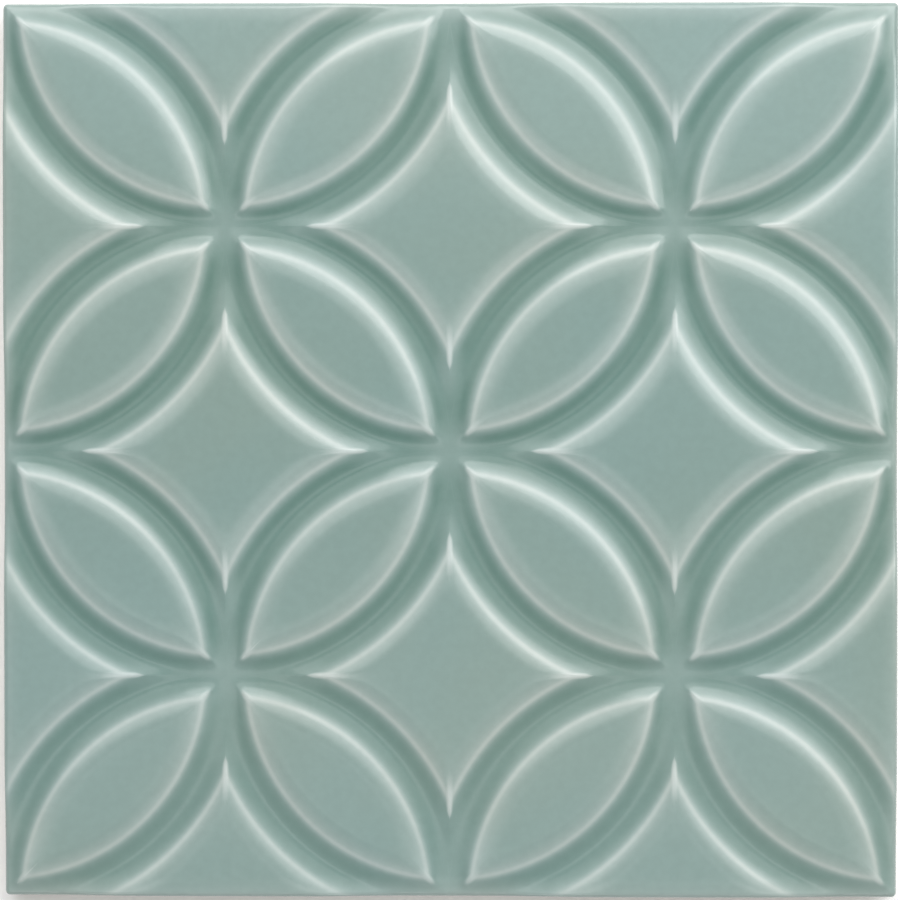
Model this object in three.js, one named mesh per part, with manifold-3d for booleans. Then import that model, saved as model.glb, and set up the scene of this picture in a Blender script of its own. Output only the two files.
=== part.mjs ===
// Decorative relief wall tile: one piece of clay, pressed, glazed and fired.
// Millimetres. The tile lies on its back: the glazed face looks along +Z and the back is on Z = 0.
// The origin is the middle of the back, and +Y runs to the top edge of the pattern.
import * as THREE from "three";
import { mergeVertices } from "three/addons/utils/BufferGeometryUtils.js";
import Module from "manifold-3d";

// Body
const tileSide = 148;
const bodyThickness = 7.7; // from the back to the floor of the channels
const cornerRadius = 0.8; // of the four corners, seen from above
const arrisRadius = 0.6; // rounding along the edges of the glazed face
const backChamfer = 0.5;

// Relief: overlapping circles, whose outlines are channels between raised petals and fields
const circlesAcross = 2; // circles side by side from edge to edge
const jointWidth = 0.8; // grout joint that the pattern runs on across
const reliefHeight = 1.3; // from the floor of the channels to the raised tops
const channelFloorWidth = 3.8;
const wallRun = 2; // width of a channel's wall, seen from above

// Keyed back
const grooveCount = 10;
const grooveWidth = 8;
const grooveDepth = 0.6;
const grooveDraft = 0.4; // how much a groove narrows on each side, mouth to floor
const backBorder = 9; // plain band between the grooves and the edge

// Facets
const cornerSegments = 3;
const arrisSegments = 3;
const wallSegments = 3;
const petalSegments = 12; // along each of a petal's two arcs
const fieldSegments = 8; // along each of a field's four arcs
const grooveEndSegments = 4; // in each quarter of a groove's rounded end

// Worked out from the sizes above
const circleRadius = (tileSide + jointWidth) / (2 * circlesAcross);
const faceHeight = bodyThickness + reliefHeight;
const reliefRoot = bodyThickness / 2; // the raised shapes start inside the body
const sharpestCorner = 0.05; // keeps a corner's points apart where its radius runs out
const cutClearance = 1; // how far a cutter stands out of the face it cuts

const wasm = await Module();
wasm.setup();

// Joins outlines that have equally many points, each at its own height, into a closed geometry.
// The outlines run anticlockwise, and the lowest comes first.
function loft(rings) {
  const count = rings[0].outline.length;
  const positions = rings.flatMap(({ outline, z }) => outline.flatMap((p) => [p.x, p.y, z]));
  const faces = [];
  for (let ring = 0; ring + 1 < rings.length; ring++) {
    for (let k = 0; k < count; k++) {
      const a = ring * count + k;
      const b = ring * count + ((k + 1) % count);
      faces.push(a, b, b + count, a, b + count, a + count);
    }
  }
  const last = (rings.length - 1) * count;
  const bottom = THREE.ShapeUtils.triangulateShape(rings[0].outline, []);
  const top = THREE.ShapeUtils.triangulateShape(rings.at(-1).outline, []);
  for (const [a, b, c] of bottom) faces.push(a, c, b);
  for (const [a, b, c] of top) faces.push(last + a, last + b, last + c);
  const geometry = new THREE.BufferGeometry();
  geometry.setAttribute("position", new THREE.Float32BufferAttribute(positions, 3));
  geometry.setIndex(faces);
  return geometry;
}

function toSolid(geometry) {
  const merged = mergeVertices(geometry, 1e-5);
  const vertProperties = merged.getAttribute("position").array;
  const triVerts = new Uint32Array(merged.index.array);
  return new wasm.Manifold(new wasm.Mesh({ numProp: 3, vertProperties, triVerts }));
}

function toGeometry(solid) {
  const { vertProperties, triVerts } = solid.getMesh();
  const indexed = new THREE.BufferGeometry();
  indexed.setAttribute("position", new THREE.BufferAttribute(vertProperties, 3));
  indexed.setIndex(new THREE.BufferAttribute(triVerts, 1));
  const geometry = indexed.toNonIndexed();
  geometry.computeVertexNormals();
  return geometry;
}

// Points of arcs that follow each other round a closed outline: each is [x, y, radius, from, to].
function arcOutline(arcs, segments) {
  return arcs.flatMap(([x, y, radius, from, to]) => {
    const arc = new THREE.ArcCurve(x, y, radius, from, to, from > to);
    return arc.getPoints(segments).slice(0, segments);
  });
}

function roundedRectangle(width, height, radius, segments) {
  const x = width / 2 - radius;
  const y = height / 2 - radius;
  const quarter = Math.PI / 2;
  const centres = [[x, y], [-x, y], [-x, -y], [x, -y]];
  return centres.flatMap(([cx, cy], k) =>
    new THREE.ArcCurve(cx, cy, radius, k * quarter, (k + 1) * quarter, false).getPoints(segments),
  );
}

// The tile's plain block up to a given height, with its back chamfer and rounded top edges.
function block(top) {
  const ring = (z, inset) => ({
    z,
    outline: roundedRectangle(
      tileSide - 2 * inset,
      tileSide - 2 * inset,
      Math.max(cornerRadius - inset, sharpestCorner),
      cornerSegments,
    ),
  });
  const rings = [ring(0, backChamfer), ring(backChamfer, 0)];
  for (let k = 0; k <= arrisSegments; k++) {
    const turn = (k / arrisSegments) * (Math.PI / 2);
    const rise = arrisRadius * (1 - Math.sin(turn));
    rings.push(ring(top - rise, arrisRadius * (1 - Math.cos(turn))));
  }
  return toSolid(loft(rings));
}

// A petal's outline: the lens that two neighbouring circles share, pulled in from both by inset.
// It is centred on the origin and lies along the rising diagonal.
function petalOutline(inset) {
  const radius = circleRadius - inset;
  const half = circleRadius / 2;
  const reach = Math.acos((half * Math.SQRT2) / radius);
  const upLeft = (3 * Math.PI) / 4;
  const downRight = -Math.PI / 4;
  return arcOutline(
    [
      [-half, half, radius, downRight - reach, downRight + reach],
      [half, -half, radius, upLeft - reach, upLeft + reach],
    ],
    petalSegments,
  );
}

// A field's outline: the four-pointed gap between four circles, pulled in from all of them by inset.
function fieldOutline(inset) {
  const radius = circleRadius + inset;
  const reach = Math.PI / 4 - Math.acos(circleRadius / radius);
  const arcs = [0, 1, 2, 3].map((k) => {
    const inwards = Math.PI / 4 + (k * Math.PI) / 2;
    const distance = circleRadius * Math.SQRT2;
    const x = -distance * Math.cos(inwards);
    const y = -distance * Math.sin(inwards);
    return [x, y, radius, inwards + reach, inwards - reach];
  });
  return arcOutline(arcs, fieldSegments);
}

// A raised shape: straight up out of the body, then an S-shaped wall to its flat top.
function raised(outlineAt) {
  const foot = channelFloorWidth / 2;
  const rings = [{ z: reliefRoot, outline: outlineAt(foot) }];
  for (let k = 0; k <= wallSegments; k++) {
    const share = k / wallSegments;
    rings.push({
      z: bodyThickness + reliefHeight * THREE.MathUtils.smoothstep(share, 0, 1),
      outline: outlineAt(foot + wallRun * share),
    });
  }
  return loft(rings);
}

// Every petal and field that reaches the tile, on a lattice with one circle radius between its points.
// A circle is centred where the column and row add up to an odd number, and petals meet at the others.
function reliefShapes() {
  const petal = raised(petalOutline);
  const field = raised(fieldOutline);
  const shapes = [];
  const cells = 2 * circlesAcross;
  const place = (step) => (step - circlesAcross) * circleRadius;
  for (let column = 0; column < cells; column++) {
    for (let row = 0; row < cells; row++) {
      const turned = (column + row) % 2 ? Math.PI / 2 : 0;
      const middle = [place(column + 0.5), place(row + 0.5), 0];
      shapes.push(petal.clone().rotateZ(turned).translate(...middle));
    }
  }
  for (let column = 0; column <= cells; column++) {
    for (let row = 0; row <= cells; row++) {
      if ((column + row) % 2) shapes.push(field.clone().translate(place(column), place(row), 0));
    }
  }
  return wasm.Manifold.union(shapes.map(toSolid));
}

// The round-ended grooves that key the back into its adhesive.
function backGrooves() {
  const length = tileSide - 2 * backBorder;
  const pitch = length / grooveCount;
  const slope = grooveDraft / grooveDepth;
  const ring = (z) => {
    const inset = slope * z;
    const width = grooveWidth - 2 * inset;
    const radius = width / 2 - sharpestCorner;
    return { z, outline: roundedRectangle(length - 2 * inset, width, radius, grooveEndSegments) };
  };
  const groove = loft([ring(-cutClearance), ring(grooveDepth)]);
  const grooves = [];
  for (let k = 0; k < grooveCount; k++) {
    grooves.push(toSolid(groove.clone().translate(0, (k + 0.5) * pitch - length / 2, 0)));
  }
  return wasm.Manifold.union(grooves);
}

function tileGeometry() {
  const relief = reliefShapes().intersect(block(faceHeight));
  return toGeometry(block(bodyThickness).add(relief).subtract(backGrooves()));
}

const glaze = new THREE.MeshStandardMaterial({
  color: new THREE.Color().setRGB(0.56, 0.66, 0.635, THREE.SRGBColorSpace),
  roughness: 0.15,
  metalness: 0,
  flatShading: true,
});

const tile = new THREE.Mesh(tileGeometry(), glaze);
tile.name = "tile";

const model = new THREE.Group();
model.add(tile);

export default model;
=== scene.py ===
# Decorative relief tile: its glazed face, sides and keyed back, lit and seen as in the photo.
import math

import bmesh
import bpy
import numpy as np
from mathutils import Euler, Matrix, Vector


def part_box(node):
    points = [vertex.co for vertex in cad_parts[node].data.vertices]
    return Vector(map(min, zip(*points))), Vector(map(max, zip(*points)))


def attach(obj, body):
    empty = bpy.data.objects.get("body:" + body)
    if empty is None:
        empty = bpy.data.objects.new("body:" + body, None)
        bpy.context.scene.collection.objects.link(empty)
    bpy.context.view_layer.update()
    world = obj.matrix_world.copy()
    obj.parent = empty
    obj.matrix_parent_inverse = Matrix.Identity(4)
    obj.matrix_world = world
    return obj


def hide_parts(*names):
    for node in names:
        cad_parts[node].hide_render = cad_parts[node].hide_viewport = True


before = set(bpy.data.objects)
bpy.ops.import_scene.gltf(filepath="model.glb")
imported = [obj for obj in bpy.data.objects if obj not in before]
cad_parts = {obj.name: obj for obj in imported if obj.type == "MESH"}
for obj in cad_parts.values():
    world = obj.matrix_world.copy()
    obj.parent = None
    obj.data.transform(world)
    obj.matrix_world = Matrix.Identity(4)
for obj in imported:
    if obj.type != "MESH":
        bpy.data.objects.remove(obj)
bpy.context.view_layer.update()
bpy.ops.object.select_all(action="DESELECT")

mm = 0.001
tileLow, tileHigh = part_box("tile")
tileSide = tileHigh.x - tileLow.x
halfSide = tileSide / 2
faceTop = tileHigh.z

pattern = {
    "circlesAcross": 2,
    "joint": 0.8 * mm,  # the pattern runs on across the grout joint
    # how far two walls melt into each other where they meet, by distance from their lines, in mm
    "meltReach": ((0, 2.6), (1.4, 1.8), (2.7, 0.3), (3.6, 0.5), (6, 2.5)),
}
circleRadius = (tileSide + pattern["joint"]) / (2 * pattern["circlesAcross"])

# The section of a channel's wall, by distance from the circle's line
wall = {
    "height": 1.3 * mm,
    "foot": 1.2 * mm,
    "lip": 4.1 * mm,
    "end": 7 * mm,
    "steps": 700,  # that the section is worked out in
    "easing": 61,  # steps that the slope is averaged over
    # how far from a node, where channels meet, the floor turns from flat to round, in mm
    "openUpTo": (4, 12),
    "bowl": 0.04 / mm,  # curvature across the channels near a node
    "bowlUpTo": (7, 15),  # distance from it, in mm, over which the bowl fades
    # distance in mm, and how steep the wall is there, in any measure: first near a node, then elsewhere
    "openSlopes": (
        (0, 0),
        (0.7, 0.1),
        (1.2, 0.35),
        (1.6, 0.7),
        (2, 0.98),
        (2.5, 1.1),
        (3.2, 1.05),
        (3.6, 0.9),
        (4, 0.8),
        (4.6, 0.62),
        (5.3, 0.42),
        (6, 0.2),
        (6.5, 0.06),
        (7, 0),
    ),
    "slopes": (
        (0, 0),
        (0.3, 0.3),
        (0.66, 0.57),
        (1, 0.69),
        (1.5, 0.77),
        (2, 0.85),
        (2.5, 0.97),
        (3.6, 1),
        (4, 0.94),
        (4.6, 0.74),
        (5.3, 0.5),
        (6, 0.24),
        (6.5, 0.07),
        (7, 0),
    ),
}

# The net of faces that follows the circles
net = {
    "floorSteps": 4,
    "wallSteps": 11,
    "shoulderSteps": 5,
    "sweeps": ((6, 0.03), (6, 0.07), (24, 0.8), (6, 0.07), (6, 0.03)),  # steps and share of an arc
    "petalMiddle": 0.5,  # how far a petal's flat is drawn in, before it closes along its axis
    "fieldMiddle": (0.7, 0.5, 0),  # the same for a field, in steps towards its middle
    "weld": 0.0005 * mm,
    "smoothUpTo": 35,  # degrees between faces that are shaded as one surface
}

# Where the glaze is pooled, thin or thinnest: distance from the circle's line in mm, and share
glazeDepth = {
    "pooled": (
        (0, 0.77),
        (0.3, 0.78),
        (0.66, 0.83),
        (1.3, 0.96),
        (1.66, 0.86),
        (2, 0.64),
        (2.3, 0.25),
        (2.6, 0),
    ),
    "thin": (
        (2.45, 0),
        (2.65, 0.1),
        (3, 0.4),
        (3.3, 0.84),
        (3.5, 0.98),
        (3.7, 0.88),
        (4, 0.6),
        (4.3, 0.45),
        (5, 0.29),
        (6, 0.12),
        (7.2, 0),
    ),
    # the tips of fields, and of petals
    "crest": ((2.2, 0), (2.45, 0.6), (3, 0.85), (3.8, 0.8), (5, 0)),
    "petalCrest": ((2.1, 0), (2.45, 0.25), (2.72, 0.5), (3.1, 0.6), (3.5, 0.4), (3.9, 0.2), (4.4, 0)),
    "crestWidth": (0.4, 1.1),  # how much farther the second line is there, in mm
    # distance from the left or right edge, and from the top or bottom one, and share of thin glaze
    "overSide": ((0, 0.52), (0.5, 0.36), (1, 0.16), (1.7, 0.07), (3, 0)),
    "overEnd": ((0, 0.6), (0.5, 0.48), (1, 0.36), (1.7, 0.24), (2.5, 0.13), (3.5, 0)),
    "evenOut": (0, 0.7),  # distance in mm from the edge over which the other shares fade
    # y in mm, and a factor on the pooled share there: painted shade, which makes the channels darker from
    # the middle to the top and paler at the bottom; a guess, set to match the photo's channels
    "paintedShadeByHeight": ((-74, 0.4), (-56, 0.45), (-19, 0.92), (19, 1.1), (56, 1), (74, 0.95)),
    "around": (3 * mm, 5 * mm),  # where the relief around a spot is sampled
    "samples": 12,
    "crowded": (0.16, 0.34),  # mean height around it, as a share: open floor and narrow channel
}

edge = {
    "arris": 0.8 * mm,
    "arrisWidth": 0.9 * mm,
    "corner": 0.8 * mm,
    "fall": 0.2 * mm,  # how much the face falls towards the edge, before the arris
    "fallWidth": 3 * mm,
    "cuts": 4,  # cuts along the arris, on each side of the tile
    "innerCuts": (1.2, 1.6, 2.2, 3),  # more of them, in mm from the edge, over the width of that fall
    "glazeEnd": 4.6 * mm,  # how low the glaze has run down the sides
    "glazeWave": 0.35 * mm,
    "waves": ((9, 1, 1.3), (23, 0.6, 0.4), (51, 0.35, 2.1)),  # of that end: number, size and start
    "glazeThick": 0.15 * mm,
    "glazeEndThin": 0.6,  # share of thin glaze along that lower edge
    "backChamfer": 0.5 * mm,
}

grooves = {
    "count": 10,
    "width": 8 * mm,
    "depth": 0.6 * mm,
    "draft": 0.4 * mm,
    "rounding": 0.15 * mm,
    "border": 9 * mm,
    "endVertices": 32,
}


def editMode():
    bpy.ops.object.mode_set(mode="EDIT")


def objectMode():
    bpy.ops.object.mode_set(mode="OBJECT")


def selectOnly(*things):
    bpy.ops.object.select_all(action="DESELECT")
    for thing in things:
        thing.select_set(True)
    bpy.context.view_layer.objects.active = things[0]


def emptyMesh(name):
    bpy.ops.mesh.primitive_plane_add(size=mm)
    thing = bpy.context.object
    thing.name = thing.data.name = name
    editMode()
    bpy.ops.mesh.delete(type="VERT")
    return thing


def selectVertices(thing, test):
    bpy.ops.mesh.select_all(action="DESELECT")
    shape = bmesh.from_edit_mesh(thing.data)
    for vertex in shape.verts:
        vertex.select = test(vertex)
    shape.select_flush(True)
    bmesh.update_edit_mesh(thing.data)


def mirrorOver(thing, x, y):
    mirror = thing.modifiers.new("mirror", "MIRROR")
    mirror.use_axis = (x, y, False)
    mirror.merge_threshold = net["weld"]
    bpy.ops.object.modifier_apply(modifier=mirror.name)


def copyOf(thing, x, y, turn):
    copied = thing.copy()
    copied.data = thing.data.copy()
    copied.data.transform(Matrix.Translation((x, y, 0)) @ Matrix.Rotation(turn, 4, "Z"))
    bpy.context.collection.objects.link(copied)
    return copied


# Petals and fields, as flat nets of faces whose rings follow the circles

ringVertices = 1 + sum(steps for steps, share in net["sweeps"])


def ringOffsets():
    # distances of the rings from the circle's line
    stretches = (
        (0, wall["foot"], net["floorSteps"]),
        (wall["foot"], wall["lip"], net["wallSteps"]),
        (wall["lip"], wall["end"], net["shoulderSteps"]),
    )
    offsets = [start + (end - start) * k / steps for start, end, steps in stretches for k in range(steps)]
    return offsets + [wall["end"]]


def sweepArc(centre, radius, fromAngle, toAngle):
    # one vertex, spun clockwise: fine steps at both tips and longer ones between
    start = (centre[0] + radius * math.cos(fromAngle), centre[1] + radius * math.sin(fromAngle), 0)
    bpy.ops.mesh.select_all(action="DESELECT")
    bpy.ops.mesh.primitive_plane_add(size=mm, location=start)
    bpy.ops.mesh.merge(type="CENTER")
    for steps, share in net["sweeps"]:
        angle = (fromAngle - toAngle) * share
        bpy.ops.mesh.spin(steps=steps, angle=angle, center=(*centre, 0), axis=(0, 0, 1))


def bridgeRings(thing):
    # leaves the last ring selected
    bpy.ops.mesh.select_all(action="SELECT")
    bpy.ops.mesh.bridge_edge_loops(type="SINGLE")
    count = len(bmesh.from_edit_mesh(thing.data).verts)
    selectVertices(thing, lambda vertex: vertex.index >= count - ringVertices)


def extrudeAndScale(factors):
    bpy.ops.mesh.extrude_edges_move()
    bpy.ops.transform.resize(value=factors, center_override=(0, 0, 0))


def weld():
    bpy.ops.mesh.select_all(action="SELECT")
    bpy.ops.mesh.remove_doubles(threshold=net["weld"])


def modelPetal():
    # half a lens above the X axis, closed along that axis and mirrored over it
    petal = emptyMesh("petal")
    depth = circleRadius / math.sqrt(2)
    for offset in ringOffsets():
        radius = circleRadius - offset
        reach = math.acos(depth / radius)
        sweepArc((0, -depth), radius, math.pi / 2 + reach, math.pi / 2 - reach)
    bridgeRings(petal)
    extrudeAndScale((1, net["petalMiddle"], 1))
    extrudeAndScale((1, 0, 1))
    weld()
    objectMode()
    mirrorOver(petal, False, True)
    return petal


def modelField():
    # a quarter of the gap between four circles, closed towards its middle and mirrored twice
    field = emptyMesh("field")
    inwards = math.radians(225)
    for offset in ringOffsets():
        radius = circleRadius + offset
        reach = math.radians(45) - math.acos(circleRadius / radius)
        sweepArc((circleRadius, circleRadius), radius, inwards + reach, inwards - reach)
    bridgeRings(field)
    for factor in net["fieldMiddle"]:
        extrudeAndScale((factor, factor, 1))
    weld()
    objectMode()
    mirrorOver(field, True, True)
    return field


def modelNet():
    petal, field = modelPetal(), modelField()
    cells = 2 * pattern["circlesAcross"]
    place = [(step / 2 - pattern["circlesAcross"]) * circleRadius for step in range(2 * cells + 1)]
    pieces = []
    for column in range(cells):
        for row in range(cells):
            turn = math.radians(45 if (column + row) % 2 == 0 else 135)
            pieces.append(copyOf(petal, place[2 * column + 1], place[2 * row + 1], turn))
    for column in range(cells + 1):
        for row in range(cells + 1):
            if (column + row) % 2:
                pieces.append(copyOf(field, place[2 * column], place[2 * row], 0))
    selectOnly(*pieces)
    bpy.ops.object.join()
    skin = bpy.context.object
    skin.name = skin.data.name = "glazedTile"
    editMode()
    weld()
    objectMode()
    for source in (petal, field):
        bpy.data.objects.remove(source)
    return skin


def trimNet(skin):
    # cut to the tile's square, with more cuts just inside for the rounded arris
    selectOnly(skin)
    editMode()
    turns = [math.radians(90 * k / edge["cuts"]) for k in range(edge["cuts"] + 1)]
    insets = [edge["arrisWidth"] * (1 - math.cos(turn)) for turn in turns]
    for inset in insets + [place * mm for place in edge["innerCuts"]]:
        for outwards in ((1, 0, 0), (-1, 0, 0), (0, 1, 0), (0, -1, 0)):
            place = Vector(outwards) * (halfSide - inset)
            bpy.ops.mesh.select_all(action="SELECT")
            bpy.ops.mesh.bisect(
                plane_co=place, plane_no=outwards, clear_outer=(inset == 0), threshold=net["weld"]
            )
    weld()
    objectMode()


# Relief

def melt(first, second):
    # the lower of two distances, rounded where they are nearly the same
    lower = np.minimum(first, second)
    reach = np.interp(lower / mm, *zip(*pattern["meltReach"])) * mm
    overlap = np.maximum(reach - np.abs(first - second), 0) / reach
    return lower - overlap**2 * reach / 4


def surveyLines(x, y):
    # how far the nearest circle's line is, by how much the next one is farther (below zero in a
    # petal), how far the nearest node is, and how far the channels' axes are there
    # x and y are folded into one cell of the pattern, with circles centred on two of its corners
    u = np.abs((x / circleRadius + pattern["circlesAcross"] + 1) % 2 - 1)
    v = np.abs((y / circleRadius + pattern["circlesAcross"] + 1) % 2 - 1)
    inFirst = (1 - np.hypot(u - 1, v)) * circleRadius
    inSecond = (1 - np.hypot(u, v - 1)) * circleRadius
    turned = inSecond < 0
    p, q = np.where(turned, v, u), np.where(turned, u, v)
    circles = ((1, 0), (-1, 0), (1, 2))
    outside = np.sort([np.hypot(p - centreP, q - centreQ) - 1 for centreP, centreQ in circles], 0)
    outside = outside * circleRadius
    isPetal = (inFirst > 0) & (inSecond > 0)
    distance = np.where(isPetal, melt(inFirst, inSecond), melt(outside[0], outside[1]))
    farther = np.where(isPetal, np.abs(inFirst - inSecond), outside[1] - outside[0])
    nearNode = u + v < 1
    acrossX, acrossY = np.where(nearNode, u, 1 - u), np.where(nearNode, v, 1 - v)
    nodeDistance = np.maximum(np.hypot(acrossX, acrossY), 1e-6) * circleRadius
    fromAxes = acrossX * acrossY * circleRadius**2 / nodeDistance
    return np.maximum(distance, 0), np.where(isPetal, -farther, farther), nodeDistance, fromAxes


def riseBy(slopes, distance):
    # a wall's slope, with its corners eased, summed up from the channel's floor
    steps = np.linspace(0, wall["end"], wall["steps"])
    places, steepness = zip(*wall[slopes])
    slope = np.interp(steps, np.array(places) * mm, steepness)
    window = np.hanning(wall["easing"])
    slope = np.convolve(np.pad(slope, len(window) // 2, "edge"), window / window.sum(), "same")
    rise = np.cumsum(slope[len(window) // 2 :][: len(steps)])
    return np.interp(distance, steps, (rise - rise[0]) / (rise[-1] - rise[0]) * wall["height"])


def riseOverFloor(x, y):
    distance, farther, nodeDistance, fromAxes = surveyLines(x, y)
    isOpen = np.interp(nodeDistance / mm, wall["openUpTo"], (1, 0))
    rise = isOpen * riseBy("openSlopes", distance) + (1 - isOpen) * riseBy("slopes", distance)
    bowl = wall["bowl"] / 2 * fromAxes**2 * np.interp(nodeDistance / mm, wall["bowlUpTo"], (1, 0))
    return rise + bowl * (1 - rise / wall["height"])


def crowding(x, y):
    # 0 where channels meet in an open floor, and 1 in a channel, where the glaze has less room
    total = 0
    for reach in glazeDepth["around"]:
        for turn in np.linspace(0, 2 * np.pi, glazeDepth["samples"], endpoint=False):
            total = total + riseOverFloor(x + reach * np.cos(turn), y + reach * np.sin(turn))
    mean = total / (glazeDepth["samples"] * len(glazeDepth["around"]) * wall["height"])
    return np.interp(mean, glazeDepth["crowded"], (0, 1))


def writeShare(skin, name, values):
    skin.data.attributes.new(name, "FLOAT", "POINT").data.foreach_set("value", values)


def shareAt(distance, depth):
    places, shares = zip(*glazeDepth[depth])
    return np.interp(distance / mm, places, shares)


def pressRelief(skin):
    count = len(skin.data.vertices)
    place = np.empty(count * 3, np.float32)
    skin.data.vertices.foreach_get("co", place)
    place = place.reshape(-1, 3).astype(float)
    x, y = place[:, 0], place[:, 1]
    fromEdge = halfSide - np.maximum(np.abs(x), np.abs(y))
    inArris = np.clip(1 - fromEdge / edge["arrisWidth"], 0, 1)
    inFall = np.clip(1 - fromEdge / edge["fallWidth"], 0, 1)
    drop = edge["arris"] * (1 - np.sqrt(1 - inArris**2)) + edge["fall"] * inFall**2
    distance, farther = surveyLines(x, y)[:2]
    place[:, 2] = faceTop - wall["height"] + riseOverFloor(x, y) - drop
    core = halfSide - edge["corner"]
    over = np.maximum(np.abs(place[:, :2]) - core, 0)
    both = over.min(1) > 0
    shrink = over[both].max(1) / np.hypot(*over[both].T)
    place[both, :2] = np.sign(place[both, :2]) * (core + over[both] * shrink[:, None])
    skin.data.vertices.foreach_set("co", place.ravel())
    onCrest = np.interp(np.abs(farther) / mm, glazeDepth["crestWidth"], (1, 0))
    crest = np.where(farther < 0, shareAt(distance, "petalCrest"), shareAt(distance, "crest")) * onCrest
    inside = np.interp(fromEdge / mm, glazeDepth["evenOut"], (0, 1))
    beside = shareAt(halfSide - np.abs(x), "overSide")
    beyond = shareAt(halfSide - np.abs(y), "overEnd")
    thin = 1 - (1 - shareAt(distance, "thin") * inside) * (1 - np.maximum(beside, beyond))
    # painted shade: the pooled share is also scaled by height, so the channels are darker towards the top
    # than at the bottom
    pooled = shareAt(distance, "pooled") * crowding(x, y) * shareAt(y, "paintedShadeByHeight")
    writeShare(skin, "pooled", np.minimum(pooled * inside, 1))
    writeShare(skin, "thin", thin)
    writeShare(skin, "crest", crest * inside)


# Sides and back

def reshapeLoop(thing, core, radius, height):
    # selected vertices go to a level loop that keeps one radius from a straight-sided core
    shape = bmesh.from_edit_mesh(thing.data)
    for vertex in shape.verts:
        if vertex.select:
            innerX = max(-core[0], min(core[0], vertex.co.x))
            innerY = max(-core[1], min(core[1], vertex.co.y))
            inner = Vector((innerX, innerY))
            outer = inner + (vertex.co.xy - inner).normalized() * radius
            vertex.co = (outer.x, outer.y, height(outer))
    bmesh.update_edit_mesh(thing.data)


def glazeLine(point):
    # the wavy lower edge of the glaze on the sides
    along = math.atan2(point.y, point.x)
    wave = sum(size * math.sin(number * along + start) for number, size, start in edge["waves"])
    return edge["glazeEnd"] + edge["glazeWave"] * wave / 2


def modelSides(skin):
    selectOnly(skin)
    editMode()
    bpy.ops.mesh.select_mode(type="VERT")
    bpy.ops.mesh.select_all(action="DESELECT")
    bpy.ops.mesh.select_non_manifold(use_multi_face=False, use_verts=False)
    core = (halfSide - edge["corner"],) * 2
    thick, chamfer = edge["glazeThick"], edge["backChamfer"]
    loops = (
        (0, lambda point: glazeLine(point) + 2 * thick),
        (thick / 3, lambda point: glazeLine(point) + thick / 2),
        (thick, glazeLine),
        (thick, lambda point: chamfer),
        (chamfer, lambda point: 0),
    )
    for inset, height in loops:
        bpy.ops.mesh.extrude_edges_move()
        reshapeLoop(skin, core, edge["corner"] - inset, height)
    objectMode()


def modelGroove():
    groove = emptyMesh("groove")
    radius = grooves["width"] / 2
    reach = halfSide - grooves["border"] - radius
    halfStep = math.pi / grooves["endVertices"]
    bpy.ops.mesh.primitive_circle_add(
        vertices=grooves["endVertices"], radius=radius, rotation=(0, 0, halfStep)
    )
    for side in (-1, 1):
        selectVertices(groove, lambda vertex: vertex.co.x * side > 0 and abs(vertex.co.x) < 2 * radius)
        bpy.ops.transform.translate(value=(side * reach, 0, 0))
    bpy.ops.mesh.select_all(action="SELECT")
    rounding, draft, depth = grooves["rounding"], grooves["draft"], grooves["depth"]
    loops = (
        (rounding * 0.7, rounding * 0.3),
        (rounding, rounding),
        (draft, depth - rounding),
        (draft + rounding, depth),
    )
    for inset, height in loops:
        bpy.ops.mesh.extrude_edges_move()
        reshapeLoop(groove, (reach, 0), radius - inset, lambda point: height)
    bpy.ops.mesh.edge_face_add()
    objectMode()
    return groove


def modelBack(skin):
    groove = modelGroove()
    span = tileSide - 2 * grooves["border"]
    pitch = span / grooves["count"]
    copies = [copyOf(groove, 0, (k + 0.5) * pitch - span / 2, 0) for k in range(grooves["count"])]
    bpy.data.objects.remove(groove)
    selectOnly(skin, *copies)
    bpy.ops.object.join()
    editMode()
    bpy.ops.mesh.select_all(action="DESELECT")
    bpy.ops.mesh.select_non_manifold()
    bpy.ops.mesh.fill()
    bpy.ops.mesh.select_all(action="SELECT")
    bpy.ops.mesh.normals_make_consistent(inside=False)
    objectMode()


def markGlaze(skin):
    # on the sides the glaze has its usual depth, and it thins out at its wavy lower edge
    count = len(skin.data.vertices)
    place = np.empty(count * 3, np.float32)
    skin.data.vertices.foreach_get("co", place)
    height = place.reshape(-1, 3)[:, 2]
    line = np.array([glazeLine(vertex.co) for vertex in skin.data.vertices])
    onSide = height < faceTop - wall["height"] - edge["fall"] - edge["arris"] - edge["glazeThick"]
    atEnd = onSide & (height < line + edge["glazeThick"])
    values = np.empty(count, np.float32)
    for name in ("pooled", "thin", "crest"):
        share = skin.data.attributes[name].data
        share.foreach_get("value", values)
        values[onSide] = 0
        if name == "thin":
            values[atEnd] = edge["glazeEndThin"]
        share.foreach_set("value", values)


# Materials

def addNode(tree, kind, inputs, **settings):
    node = tree.nodes.new(kind)
    for name, value in settings.items():
        setattr(node, name, value)
    for name, value in inputs.items():
        if isinstance(value, bpy.types.NodeSocket):
            tree.links.new(value, node.inputs[name])
        else:
            node.inputs[name].default_value = value
    return node


def newMaterial(name):
    material = bpy.data.materials.new(name)
    material.use_nodes = True
    tree = material.node_tree
    return material, tree, tree.nodes["Principled BSDF"]


def noise(tree, place, scale, detail=3, distortion=0):
    node = addNode(
        tree,
        "ShaderNodeTexNoise",
        {"Vector": place, "Scale": scale, "Detail": detail, "Distortion": distortion},
    )
    return node.outputs["Fac"]


def mapTo(tree, value, fromMin, fromMax, toMin, toMax):
    limits = {"From Min": fromMin, "From Max": fromMax, "To Min": toMin, "To Max": toMax}
    return addNode(tree, "ShaderNodeMapRange", {"Value": value, **limits}).outputs["Result"]


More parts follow.
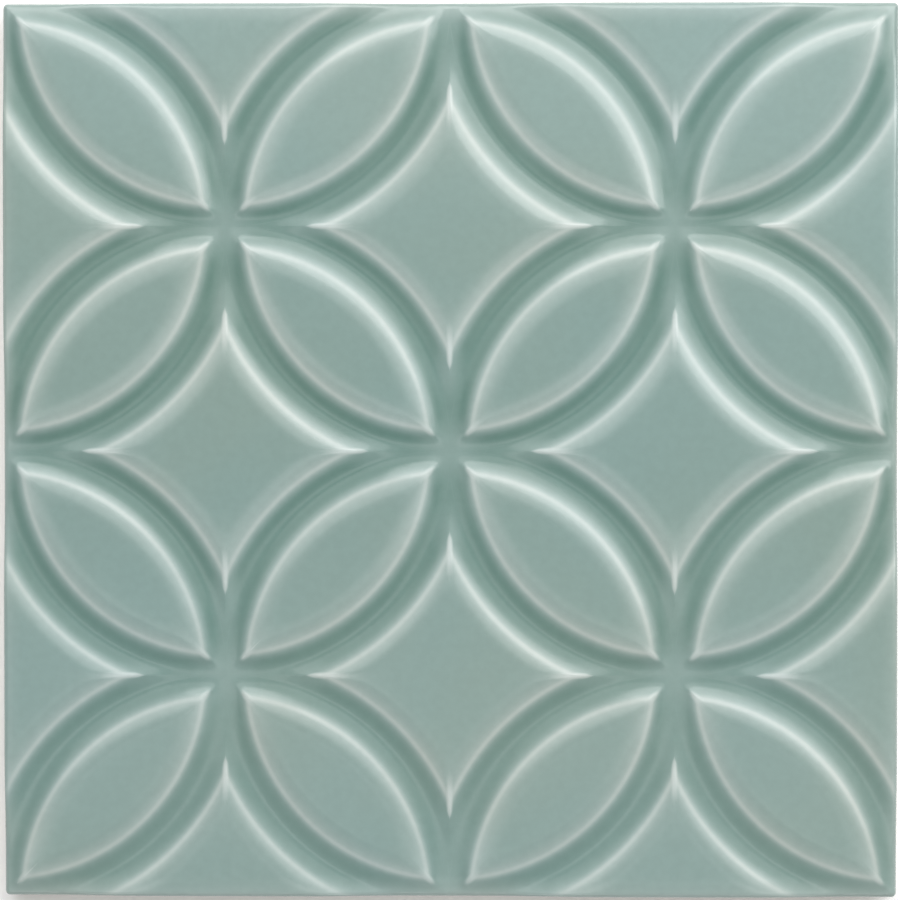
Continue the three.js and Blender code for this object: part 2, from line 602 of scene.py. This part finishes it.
def mixColours(tree, factor, first, second, kind="MIX"):
    node = addNode(tree, "ShaderNodeMix", {}, data_type="RGBA", blend_type=kind)
    for socket, value in ((node.inputs[0], factor), (node.inputs[6], first), (node.inputs[7], second)):
        if isinstance(value, bpy.types.NodeSocket):
            tree.links.new(value, socket)
        else:
            socket.default_value = value
    return node.outputs[2]


def relief(tree, place, kind, detail, below=None):
    # fine bumps, on top of the coarser ones below
    height = noise(tree, place, kind["scale"], detail)
    inputs = {"Height": height, "Strength": kind["strength"], "Distance": kind["depth"]}
    if below:
        inputs["Normal"] = below
    return addNode(tree, "ShaderNodeBump", inputs).outputs["Normal"]


# The glaze pools at the foot of a wall and runs thin over its lip, its tips and the tile's edges
glaze = {
    "level": (0.192, 0.277, 0.254, 1),
    "pooled": (0.108, 0.194, 0.166, 1),
    "thin": (0.395, 0.456, 0.432, 1),
    "crest": (0.475, 0.53, 0.51, 1),
    "cloudScale": 22,  # patches of a cooler and a warmer green
    "cool": (0.97, 1, 1.02, 1),
    "warm": (1.03, 1, 0.98, 1),
    "speckScale": 700,
    "specks": (0.98, 1.02),  # darkest and palest, as a factor
    "roughness": (0.14, 0.2),
    "glossScale": 60,
    "ior": 1.5,
    "ripples": {"scale": 60, "strength": 0.2, "depth": 0.1 * mm},
    "pits": {"scale": 900, "strength": 0.02, "depth": 0.01 * mm},
}


def glazeMaterial():
    material, tree, shader = newMaterial("sageGlaze")
    place = addNode(tree, "ShaderNodeTexCoord", {}).outputs["Object"]
    colour = glaze["level"]
    for depth in ("pooled", "thin", "crest"):
        share = addNode(tree, "ShaderNodeAttribute", {}, attribute_name=depth).outputs["Fac"]
        colour = mixColours(tree, share, colour, glaze[depth])
    clouds = mapTo(tree, noise(tree, place, glaze["cloudScale"], 2, 0.6), 0.3, 0.7, 0, 1)
    hue = mixColours(tree, clouds, glaze["cool"], glaze["warm"])
    colour = mixColours(tree, 1, colour, hue, "MULTIPLY")
    specks = mapTo(tree, noise(tree, place, glaze["speckScale"], 4), 0.35, 0.65, *glaze["specks"])
    colour = mixColours(tree, 1, colour, specks, "MULTIPLY")
    tree.links.new(colour, shader.inputs["Base Color"])
    gloss = mapTo(tree, noise(tree, place, glaze["glossScale"], 4), 0.3, 0.7, *glaze["roughness"])
    tree.links.new(gloss, shader.inputs["Roughness"])
    shader.inputs["IOR"].default_value = glaze["ior"]
    ripples = relief(tree, place, glaze["ripples"], 1)
    tree.links.new(relief(tree, place, glaze["pits"], 2, ripples), shader.inputs["Normal"])
    return material


clay = {
    "pale": (0.8, 0.745, 0.65, 1),
    "dusty": (0.7, 0.635, 0.53, 1),
    "dustScale": 35,
    "gritScale": 2600,
    "grit": (0.88, 1),  # darkest and palest, as a factor
    "roughness": (0.72, 0.9),
    "pressed": {"scale": 300, "strength": 0.3, "depth": 0.1 * mm},
    "grain": {"scale": 2200, "strength": 0.35, "depth": 0.06 * mm},
}


def clayMaterial():
    material, tree, shader = newMaterial("biscuitClay")
    place = addNode(tree, "ShaderNodeTexCoord", {}).outputs["Object"]
    dust = mapTo(tree, noise(tree, place, clay["dustScale"], 5), 0.35, 0.7, 0, 1)
    colour = mixColours(tree, dust, clay["pale"], clay["dusty"])
    grit = mapTo(tree, noise(tree, place, clay["gritScale"], 3), 0.3, 0.62, *clay["grit"])
    colour = mixColours(tree, 1, colour, grit, "MULTIPLY")
    tree.links.new(colour, shader.inputs["Base Color"])
    tree.links.new(mapTo(tree, dust, 0, 1, *clay["roughness"]), shader.inputs["Roughness"])
    pressed = relief(tree, place, clay["pressed"], 4)
    tree.links.new(relief(tree, place, clay["grain"], 3, pressed), shader.inputs["Normal"])
    return material


def dress(skin):
    # the faces that reach below the glaze's end are bare clay
    skin.data.materials.clear()
    skin.data.materials.append(glazeMaterial())
    skin.data.materials.append(clayMaterial())
    for face in skin.data.polygons:
        lowest = min(skin.data.vertices[v].co.z for v in face.vertices)
        face.material_index = int(lowest < edge["glazeEnd"] / 2)
    selectOnly(skin)
    bpy.ops.object.shade_smooth_by_angle(angle=math.radians(net["smoothUpTo"]))
    editMode()
    selectVertices(skin, lambda vertex: vertex.co.z < net["weld"])  # the level back stays flat
    bpy.ops.mesh.region_to_loop()
    bpy.ops.mesh.mark_sharp()
    objectMode()


floorPlane = {
    "size": 8,
    "colour": (0.97, 0.97, 0.965, 1),
    "shaded": (0.94, 0.94, 0.935, 1),
    "shadeScale": 3,
    "roughness": (0.7, 0.8),
    "roughScale": 40,
    "grain": {"scale": 600, "strength": 0.1, "depth": 0.1 * mm},
}


def makeFloor():
    bpy.ops.mesh.primitive_plane_add(size=floorPlane["size"])
    floor = bpy.context.object
    floor.name = floor.data.name = "studioFloor"
    material, tree, shader = newMaterial("paleFloor")
    place = addNode(tree, "ShaderNodeTexCoord", {}).outputs["Object"]
    shade = noise(tree, place, floorPlane["shadeScale"], 4)
    colour = mixColours(tree, shade, floorPlane["colour"], floorPlane["shaded"])
    tree.links.new(colour, shader.inputs["Base Color"])
    rough = mapTo(tree, noise(tree, place, floorPlane["roughScale"]), 0.3, 0.7, *floorPlane["roughness"])
    tree.links.new(rough, shader.inputs["Roughness"])
    tree.links.new(relief(tree, place, floorPlane["grain"], 3), shader.inputs["Normal"])
    floor.data.materials.append(material)


# Light and camera

lights = {
    "window": {"azimuth": 65, "elevation": 50, "distance": 0.8, "size": (1.4, 0.5), "radiance": 3.55},
    "overhead": {"azimuth": 84, "elevation": 67, "distance": 0.8, "size": (1.5, 0.5), "radiance": 1.35},
    "bounce": {"azimuth": 265, "elevation": 79, "distance": 0.8, "size": (1.2, 0.14), "radiance": 1.1},
    "low": {"azimuth": 268, "elevation": 28, "distance": 0.8, "size": (1.3, 0.12), "radiance": 2.6},
}
sky = 0.27
camera = {
    "distance": 600 * mm,  # from the middle of the relief
    "lean": (1.1, 1.4),  # degrees that it stands off to the right and to the top
    "sensor": 36,
    "pixels": (898, 900),
    "pixelsPerMetre": 6050,  # on the relief
    "reliefMiddle": 0.5 * mm,  # below the face
    "target": (-0.1 * mm, 0.2 * mm),
    "nearest": 10 * mm,
}


def makeLights():
    for name, light in lights.items():
        azimuth, elevation = math.radians(light["azimuth"]), math.radians(light["elevation"])
        flat = math.cos(elevation) * light["distance"]
        height = faceTop + math.sin(elevation) * light["distance"]
        place = Vector((flat * math.cos(azimuth), flat * math.sin(azimuth), height))
        bpy.ops.object.light_add(type="AREA", location=place)
        lamp = bpy.context.object
        lamp.name = lamp.data.name = name
        lamp.rotation_euler = (place - Vector((0, 0, faceTop))).to_track_quat("Z", "Y").to_euler()
        lamp.data.shape = "RECTANGLE"
        lamp.data.size, lamp.data.size_y = light["size"]
        lamp.data.energy = light["radiance"] * math.pi * light["size"][0] * light["size"][1]
        lamp.visible_camera = False
    world = bpy.data.worlds.new("studio")
    world.use_nodes = True
    world.node_tree.nodes["Background"].inputs["Strength"].default_value = sky
    world.node_tree.nodes["Background"].inputs["Color"].default_value = (1, 1, 1, 1)
    bpy.context.scene.world = world
    bpy.context.scene.view_settings.view_transform = "Standard"


def makeCamera():
    right, up = (math.radians(angle) for angle in camera["lean"])
    turn = Euler((-up, right, 0))
    away = turn.to_matrix() @ Vector((0, 0, camera["distance"]))
    target = Vector((*camera["target"], faceTop - camera["reliefMiddle"]))
    bpy.ops.object.camera_add(location=target + away, rotation=turn)
    seen = bpy.context.object
    seen.name = seen.data.name = "photoCamera"
    longSide = max(camera["pixels"]) / camera["pixelsPerMetre"]
    seen.data.sensor_width = camera["sensor"]
    seen.data.lens = camera["sensor"] * camera["distance"] / longSide
    seen.data.clip_start = camera["nearest"]
    bpy.context.scene.camera = seen


skin = modelNet()
print("net:", len(skin.data.vertices), "vertices")
trimNet(skin)
pressRelief(skin)
print("relief:", len(skin.data.vertices), "vertices")
modelSides(skin)
modelBack(skin)
print("tile:", len(skin.data.polygons), "faces")
markGlaze(skin)
dress(skin)
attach(skin, "root")
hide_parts("tile")
print("glaze and clay done")
makeFloor()
makeLights()
makeCamera()
print("studio done")
